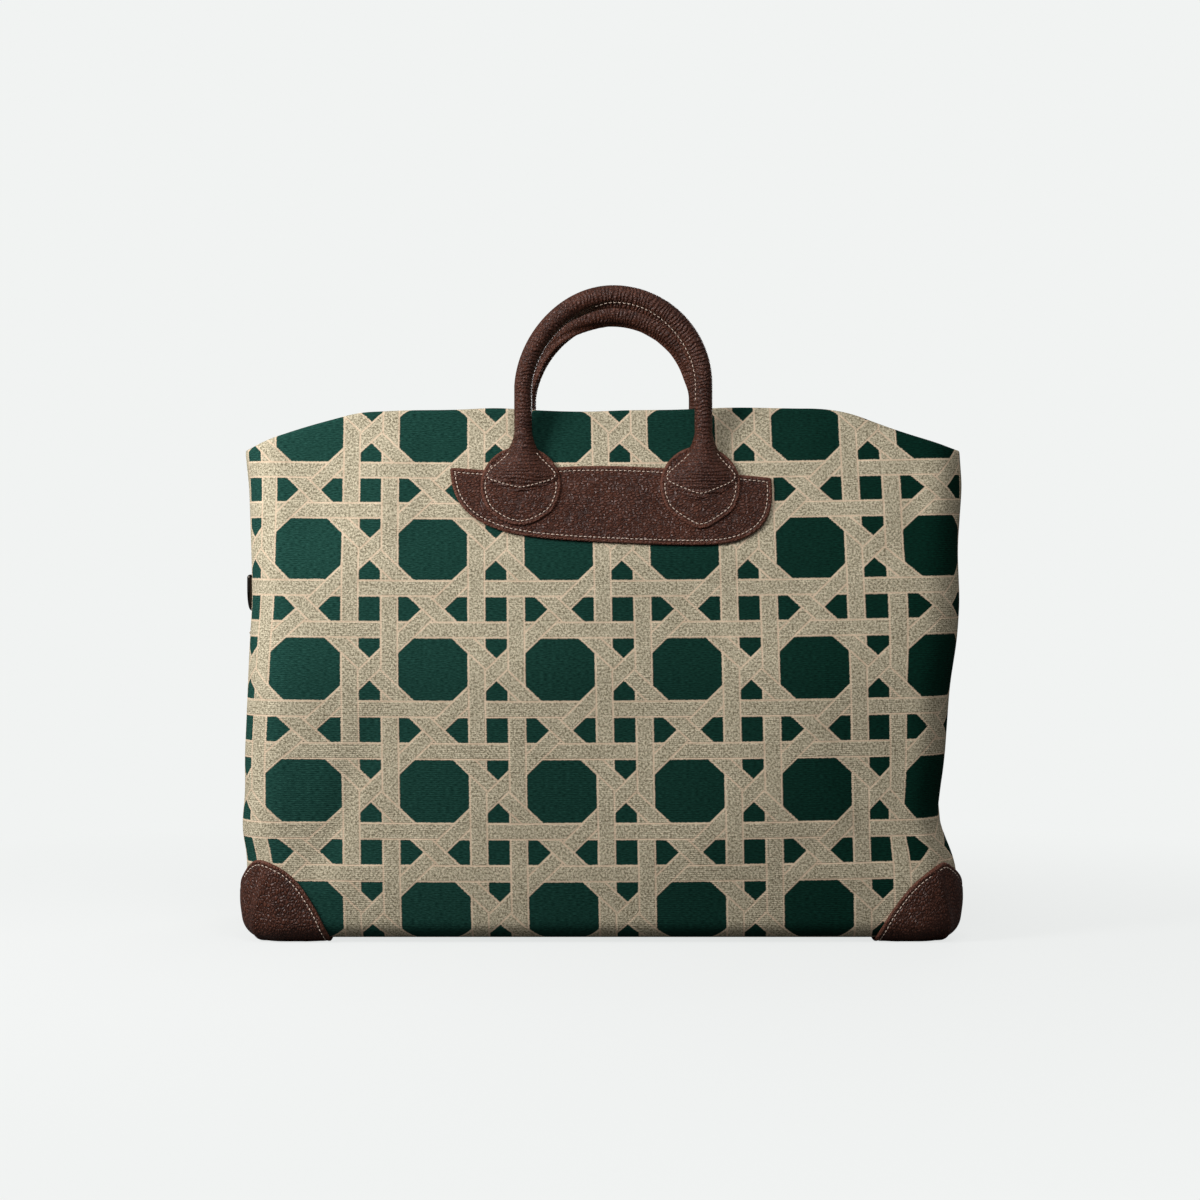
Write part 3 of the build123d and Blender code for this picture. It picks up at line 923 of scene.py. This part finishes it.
# %% Corner caps
CAP_U = 259
CAP_LOW = -17
CAP_HEIGHTS = (0.6, 2.9, 0.8)
CAP_RIMS = {
    "left": ((-58, -17), (-57.5, 3), (-54, 12), (-48, 25), (-37, 43), (-26, 54), (-14, 60.5), (-5, 62.5),
             (4, 58.5), (12, 52), (22, 44), (32, 34), (41, 22), (47, 8), (50, -17)),
    "right": ((-57, -17), (-55.5, 4), (-50, 15), (-41.5, 28.5), (-30, 43), (-18.5, 53), (-9, 58.5),
              (-3, 60.5), (3, 57.5), (10, 53), (20, 46.5), (31, 37), (41, 25), (48, 10), (51, -17)),
}


def cap_fold(x, z):
    """Height of the crease, a low ridge with a hollow behind it, in millimetres."""
    away = x - CAP_U + 12 - (52 - z) * 0.3
    fade = 1 - smooth_step(z, 48, 60)
    fold = 1.6 * math.exp(-(away / 3.6) ** 2) - 1.0 * math.exp(-((away - 8.5) / 5) ** 2)
    bulge = 2.4 * math.exp(-((x - CAP_U - 24) / 14) ** 2 - ((z - 32) / 17) ** 2)
    return fold * fade * smooth_step(z, -4, 6) + bulge


def on_skin(toward, way):
    """Places a point of a cap's flat outline on the cloth of one corner."""
    def place_on(u, v, proud):
        x, y, z = skin(toward * u, v, proud)
        return x, way * y, max(z, 0.05)
    return place_on


for side, way in SIDES:
    for end, toward in (("left", -1), ("right", 1)):
        rim = [(CAP_U + du, v) for du, v in reversed(CAP_RIMS[end])]
        shape = resample(rounded(rim, 3, (0, len(rim) - 1)), 170)
        place_on = on_skin(toward, way)
        cap = plate(f"{side}_{end}_cap_leather", shape, (CAP_U - 20, CAP_U + 20, 12), CAP_HEIGHTS,
                    place_on, cap_fold, 16, flip=toward * way < 0)
        dress(cap, cap_leather, "brown_leather", "bag", f"corner_cap_{side}_{end}")
        seam = [p for p in inset(shape, STITCH_IN) if p[1] > -3]
        seam.sort(key=lambda p: math.atan2(p[0] - CAP_U, p[1] - CAP_LOW))
        line = [place_on(u, v, CAP_HEIGHTS[1] - 0.3) for u, v in seam]
        face = CAP_HEIGHTS[1]
        out = {place_on(u, v, face): place_on(u, v, face + 1) for u, v in seam}

        def outward(point, out=out):
            near = min(out, key=lambda spot: (Vector(spot) - point).length_squared)
            return Vector(out[near]) - Vector(near)

        stitch_row(f"{side}_{end}_cap_stitches", [line], outward, "bag")

# %% [markdown]
# The handle is one strip of leather rolled round a rope core. Its ends open out like a trumpet over
# the chapes and are sewn down with a V of stitches. Along the arch the strip's two edges are sewn
# together as a low fin, which starts inside and turns to the front. The grid's rows run along it.

# %% Handle sections
FLARE = (
    # height, half width, ridge over the chape, depth of the back
    (341.0, 1.0, 0.6, 0.3), (341.6, 6.0, 1.5, 0.4), (343.2, 12.5, 2.4, 0.5), (345.6, 19.0, 3.6, 0.5),
    (348.6, 25.4, 5.2, 0.5), (350.5, 28.2, 6.2, 0.6), (354.0, 28.0, 7.6, 0.8), (358.0, 25.0, 8.9, 1.0),
    (362.0, 19.6, 9.4, 1.5), (366.0, 14.6, 9.4, 3.0), (370.0, 11.0, 8.9, 5.0), (374.0, 8.8, 8.2, 6.3),
    (378.5, 7.3, 7.3, 6.9),
)
FLARE_EDGE = 1.3
VEE_Z = 350.5
ROUND = 48
FIN = 1.9
LEG_R, ARCH_EXTRA = 6.75, 1.25
LEG_LOW = 382
LEG_ROWS = 12
ARCH_ROWS = 110


def flare_at(height):
    """Half width, ridge and depth behind of an opened end at a height."""
    for low, high in zip(FLARE, FLARE[1:]):
        if height <= high[0]:
            share = (height - low[0]) / (high[0] - low[0])
            return [a + (b - a) * share for a, b in zip(low[1:], high[1:])]
    return FLARE[-1][1:]


def flare_depth(height, share):
    """How far the opened leather stands out, share across its half width from the middle."""
    half, ridge, back = flare_at(height)
    s = math.sqrt(max(1 - share * share, 0))
    power = 1 + 2.2 * (1 - smooth_step(height, 354, 377))
    edge = FLARE_EDGE * (1 - smooth_step(height, 352, 366))
    return edge * s ** 0.4 + (ridge - edge) * s ** power


def flare_middle(end, leg_x, height):
    """Middle of an opened end at a height: x, y of its flat back, and z."""
    name, toward, chape_x, tip, drop, lower = end
    x = chape_x + (leg_x - chape_x) * smooth_step(height, 346, 374)
    z = height if height > VEE_Z else VEE_Z - (VEE_Z - height) * drop
    z -= lower * (1 - smooth_step(height, 350, 378))
    share = smooth_step(height, 356, 378)
    return x, front_y(z, CHAPE_OUTER - 0.3) * (1 - share) + TUBE_Y * share, z


def flare_ring(end, leg_x, height):
    """One ring of a handle's opened end, flat behind and ridged in front."""
    x, y, z = flare_middle(end, leg_x, height)
    half, ridge, back = flare_at(height)
    ring = []
    for k in range(ROUND):
        angle = 2 * math.pi * k / ROUND
        across = -end[1] * math.cos(angle)
        depth = -flare_depth(height, across) if math.sin(angle) > 0 else -back * math.sin(angle)
        ring.append((x + half * across, y + depth, z))
    return ring


def seam_turn(angle):
    """Where the sewn edges lie round the tube, measured from inward toward the front."""
    return math.radians(-60 + 74 * smooth_step(angle, 0.6, 1.6) - 20 * smooth_step(angle, 1.8, 2.6))


def seam_off(turn, angle):
    """How far a place round the tube is from the sewn edges, as an angle."""
    return (turn - seam_turn(angle) + math.pi) % (2 * math.pi) - math.pi


def fin_share(angle):
    """The fin starts and ends at the foot of the arch."""
    return smooth_step(math.sin(angle), 0.02, 0.3)


def tube_radius(angle):
    """The tube is thicker over the arch than down the legs."""
    return LEG_R + ARCH_EXTRA * math.sin(angle)


def tube_point(angle, x, z, turn, reach):
    """A point round the tube; the left half of the arch leans a little outward."""
    lean = 3.0 * math.sin(2 * angle) if angle < math.pi / 2 else 0
    across = reach * math.cos(turn)
    y = TUBE_Y - reach * math.sin(turn)
    return x + lean + across * math.cos(angle), y, z - across * math.sin(angle)


def tube_ring(angle, x, z):
    """One ring of the rolled tube, with the fin of its sewn edges."""
    fin = FIN * fin_share(angle)
    ring = []
    for k in range(ROUND):
        turn = 2 * math.pi * k / ROUND
        off = seam_off(turn, angle)
        groove = 0.5 * math.exp(-((abs(off) - 0.5) / 0.15) ** 2) * fin / FIN
        reach = tube_radius(angle) + fin * math.exp(-(off / 0.19) ** 2) - groove
        ring.append(tube_point(angle, x, z, turn, reach))
    return ring


def handle_stations():
    """Turn of the arch and middle of each ring between the two opened ends."""
    stations = []
    for k in range(LEG_ROWS):
        stations.append((0.0, HANDLE_X - LEG_HALF, LEG_LOW + (ARCH_Z - LEG_LOW) * k / LEG_ROWS))
    for k in range(ARCH_ROWS + 1):
        angle = math.pi * k / ARCH_ROWS
        stations.append((angle, HANDLE_X - LEG_HALF * math.cos(angle), ARCH_Z + LEG_HALF * math.sin(angle)))
    for k in range(1, LEG_ROWS + 1):
        stations.append((math.pi, HANDLE_X + LEG_HALF, ARCH_Z - (ARCH_Z - LEG_LOW) * k / LEG_ROWS))
    return stations


stations = handle_stations()
left_end, right_end = ENDS
rings = [flare_ring(left_end, HANDLE_X - LEG_HALF, row[0]) for row in FLARE]
rings += [tube_ring(*station) for station in stations]
rings += [flare_ring(right_end, HANDLE_X + LEG_HALF, row[0]) for row in reversed(FLARE)]
middles = [sum((Vector(p) for p in ring), Vector()) / ROUND for ring in rings]
walks = [0.0]
for low, high in zip(middles, middles[1:]):
    walks.append(walks[-1] + (high - low).length)
print("handle length", round(walks[-1]), "mm")

# %% [markdown]
# Two seams show on each handle: one round the opened end and across it in a V, laid with the same
# function that shapes the leather under it, and one beside the fin.

# %% Handle seams
VEE_SIDE = (
    # height, share across the half width, from the top of one side down to near the V's point
    (367.5, 0.78), (364.5, 0.82), (361, 0.87), (357, 0.91), (354, 0.93), (351.8, 0.9), (350.4, 0.86),
    (348.8, 0.76), (347.3, 0.6), (345.8, 0.38), (344.8, 0.18),
)
VEE = [(height, -share) for height, share in VEE_SIDE] + [(344.4, 0)]
VEE += reversed(VEE_SIDE)


def vee_line(end, way):
    """The V of stitches across a handle's end, just inside its edge."""
    line = []
    for height, share in VEE:
        x, y, z = flare_middle(end, HANDLE_X + end[1] * LEG_HALF, height)
        line.append((x + flare_at(height)[0] * share, way * (y - flare_depth(height, share)), z))
    return line


def fin_line(way):
    """The seam's stitches beside the fin, from the top of the arch down the right leg."""
    line = []
    for angle, x, z in stations:
        if angle < 1.3 or z < ARCH_Z - 12:
            continue
        px, py, pz = tube_point(angle, x, z, seam_turn(angle) + 0.5, tube_radius(angle) - 0.25)
        line.append((px, way * py, pz))
    return line


print("V seam points", len(VEE))

# %% [markdown]
# The rings become one skin, closed at both ends. The real leather bends near the necks when the
# handle swings down.

for side, way in SIDES:
    def handle_place(i, j):
        x, y, z = rings[j][i % ROUND]
        return (x, y * way, z), (walks[j], i * 2 * math.pi * TUBE_R / ROUND)

    handle = grid_piece(f"{side}_handle_leather", ROUND, len(rings) - 1, handle_place, "roll")
    rims = handle.data.attributes.new("rim", "FLOAT", "POINT")
    for index in range(len(handle.data.vertices)):
        j, i = divmod(index, ROUND + 1)
        station = j - len(FLARE)
        if 0 <= station < len(stations):
            angle = stations[station][0]
            off = seam_off(2 * math.pi * i / ROUND, angle)
            rims.data[index].value = math.exp(-(off / 0.16) ** 2) * fin_share(angle)
    weld(handle)
    pick_only(handle)
    bpy.ops.object.mode_set(mode="EDIT")
    bpy.ops.mesh.select_all(action="DESELECT")
    bpy.ops.mesh.select_non_manifold()
    bpy.ops.mesh.fill_holes(sides=0)
    bpy.ops.mesh.select_all(action="SELECT")
    bpy.ops.mesh.normals_make_consistent(inside=False)
    bpy.ops.object.mode_set(mode="OBJECT")
    dress(handle, handle_leather, "brown_leather", None, f"handle_{side}", f"handle_end_{side}_left",
          f"handle_end_{side}_right")
    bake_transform(handle)
    for end in ENDS:
        stitch_row(f"{side}_{end[0]}_vee_stitches", [vee_line(end, way)],
                   lambda p, w=way: (0, -w, 0.2), "bag", 3.2)

    def from_middle(point, w=way):
        arch = Vector((HANDLE_X, point.y, ARCH_Z))
        if point.z > ARCH_Z:
            middle = arch + (point - arch).normalized() * LEG_HALF
        else:
            middle = Vector((HANDLE_X + LEG_HALF, 0, point.z))
        middle.y = w * TUBE_Y
        return point - middle

    stitch_row(f"{side}_handle_stitches", [fin_line(way)], from_middle, f"{side}_handle")

# %% [markdown]
# Each side ring hangs in a short strap, one strip that goes up the side of the bag, over the ring's
# bar and down again, sewn at both edges. The outer layer stands off the bag in a soft bulge.

# %% Ring straps
STRAP_W = 24
STRAP_T = 1.7
STRAP_LOW = 214
STRAP_COLUMNS = 12
STRAP_SEAM_IN = 3
BAR_Z = 272
BAR_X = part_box("side_ring_right")[1][0] / MM - 2
LOOP_R = 2.4


def strap_line():
    """The strip's outer face as x and z: up inside, round the bar, down outside."""
    line = []
    for k in range(16):
        z = STRAP_LOW + (BAR_Z - 4 - STRAP_LOW) * k / 15
        line.append((level_at(z)[0] / 2 + 0.4, z))
    for k in range(11):
        angle = math.radians(190 - 200 * k / 10)
        line.append((BAR_X + LOOP_R * math.cos(angle), BAR_Z + LOOP_R * math.sin(angle)))
    for k in range(25):
        z = BAR_Z - 6 - (BAR_Z - 6 - STRAP_LOW) * k / 24
        bulge = 5.0 * math.exp(-((z - 228) / 9) ** 2)
        line.append((level_at(z)[0] / 2 + 2.2 + bulge, z))
    return line


strip = strap_line()
for end, toward in (("left", -1), ("right", 1)):
    def strap_place(i, j):
        x, z = strip[i]
        across = j / STRAP_COLUMNS
        return (toward * x, STRAP_W * (across - 0.5), z), (i * 2.4, STRAP_W * across)

    strap = grid_piece(f"{end}_strap_leather", len(strip) - 1, STRAP_COLUMNS, strap_place, flip=toward > 0)
    thicken(strap, STRAP_T, 1.0)
    dress(strap, tab_leather, "brown_leather", "bag", f"ring_strap_{end}")
    outer = [(x + STRAP_T, z) for x, z in strip[27:]]
    lines = [[(toward * x, edge * (STRAP_W / 2 - STRAP_SEAM_IN), z) for x, z in outer] for edge in (-1, 1)]
    lines.append([(toward * outer[-2][0], y, STRAP_LOW + STRAP_SEAM_IN) for y in (-9, 9)])
    stitch_row(f"{end}_strap_stitches", lines, lambda p, t=toward: (t, 0, 0), "bag")

# %% [markdown]
# The zip's tapes are sewn to the cloth with one straight row of machine stitches on each side.

# %% Zip stitches
TAPE_SEAM_Y = 16.5
zip_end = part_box("zip_tape_front")[1][0] / MM - 5
for side, way in (("front", -1), ("back", 1)):
    row = [(-zip_end, way * TAPE_SEAM_Y, FLOOR_Z + 0.1), (zip_end, way * TAPE_SEAM_Y, FLOOR_Z + 0.1)]
    stitch_row(f"{side}_tape_stitches", [row], lambda p: (0, 0, 1), "bag", 3.2)

# %% [markdown]
# The camera stands level with the middle of the bag and far back, as in the photograph: a bag half
# a metre wide fills three fifths of the picture.

# %% Camera
PHOTO_SIZE = 1200
FOCAL_PIXELS = 2365
CAMERA_BACK = 1855
CAMERA_Z = 254.5
camera_data = bpy.data.cameras.new("camera")
camera_data.sensor_width = 36
camera_data.lens = 36 * FOCAL_PIXELS / PHOTO_SIZE
camera_data.clip_end = 60
camera = bpy.data.objects.new("camera", camera_data)
camera.location = (-1.1 * MM, -CAMERA_BACK * MM, CAMERA_Z * MM)
camera.rotation_euler = (math.radians(90), 0, 0)
bpy.context.collection.objects.link(camera)
bpy.context.scene.camera = camera
print("camera lens", round(camera_data.lens, 1), "mm")

# %% [markdown]
# The light is a soft studio light: one large lamp close by on the left in front, so that the left
# of the bag is brighter than its right, a weak one overhead, one for the back, and an even pale
# world. The floor shows the camera the same pale grey as the sky. It takes light only near the bag,
# and glows a little less there, so that nothing but the soft shadow tells where it is.

# %% Floor
BACKDROP = srgb(241, 243, 242)
NEAR_GLOW = 0.845
NEAR_TONE = 0.12
LIT_REACH = 0.6
BLACK = (0.0, 0.0, 0.0, 1.0)
clear_selection()
bpy.ops.mesh.primitive_plane_add(size=24)
floor = bpy.context.object
floor.name = "floor"
floor_material, floor_tree, floor_shader = new_material("pale_floor", 0.95, Specular_IOR_Level=0.0)
floor_start = Sock(floor_tree, None)
from_bag = floor_start.add("ShaderNodeVectorMath", {0: floor_start.add("ShaderNodeTexCoord", out=3)},
                           out=1, operation="LENGTH")
far = from_bag.above(LIT_REACH, LIT_REACH / 2)
near_tone = (NEAR_TONE, NEAR_TONE, NEAR_TONE, 1.0)
connect(floor_tree, far.mix(near_tone, BLACK), floor_shader, "Base Color")
glow = far.mix(tuple(c * NEAR_GLOW for c in BACKDROP[:3]) + (1.0,), BACKDROP)
seen = floor_start.add("ShaderNodeLightPath", out="Is Camera Ray")
connect(floor_tree, seen.mix(BLACK, glow), floor_shader, "Emission Color")
floor_shader.inputs["Emission Strength"].default_value = 1.0
floor.data.materials.append(floor_material)
print("floor laid")

# %% [markdown]
# The world is white for what it lights, dimmer for gloss, and the backdrop's grey for the camera.

# %% Light and view
WHITE = (1.0, 1.0, 1.0, 1.0)
AMBIENT, GLOSS = 0.24, 0.2
world = bpy.data.worlds.new("studio")
bpy.context.scene.world = world
world.use_nodes = True
world_tree = world.node_tree
world_start = Sock(world_tree, None)
camera_ray = world_start.add("ShaderNodeLightPath", out="Is Camera Ray")
glossy_ray = Sock(world_tree, camera_ray.link.node.outputs["Is Glossy Ray"])
background = world_tree.nodes["Background"]
connect(world_tree, camera_ray.mix(WHITE, BACKDROP), background, "Color")
sky = AMBIENT + camera_ray * (1 - AMBIENT) - glossy_ray * (AMBIENT - GLOSS)
connect(world_tree, sky, background, "Strength")


def area_light(name, place, target, size, power):
    lamp_data = bpy.data.lights.new(name, "AREA")
    lamp_data.shape = "DISK"
    lamp_data.size = size
    lamp_data.energy = power
    lamp = bpy.data.objects.new(name, lamp_data)
    lamp.location = place
    lamp.visible_camera = False
    lamp.rotation_euler = (Vector(target) - Vector(place)).to_track_quat("-Z", "Y").to_euler()
    bpy.context.collection.objects.link(lamp)


area_light("key", (-1.0, -0.70, 0.85), (-0.15, 0, 0.25), 0.5, 16.5)
area_light("top", (0.1, -0.9, 1.5), (0, 0, 0.3), 0.7, 6.5)
area_light("back", (0.5, 1.6, 0.8), (0, 0, 0.2), 1.0, 14)
bpy.context.scene.view_settings.view_transform = "Standard"
print("lamps", len(bpy.data.lights))
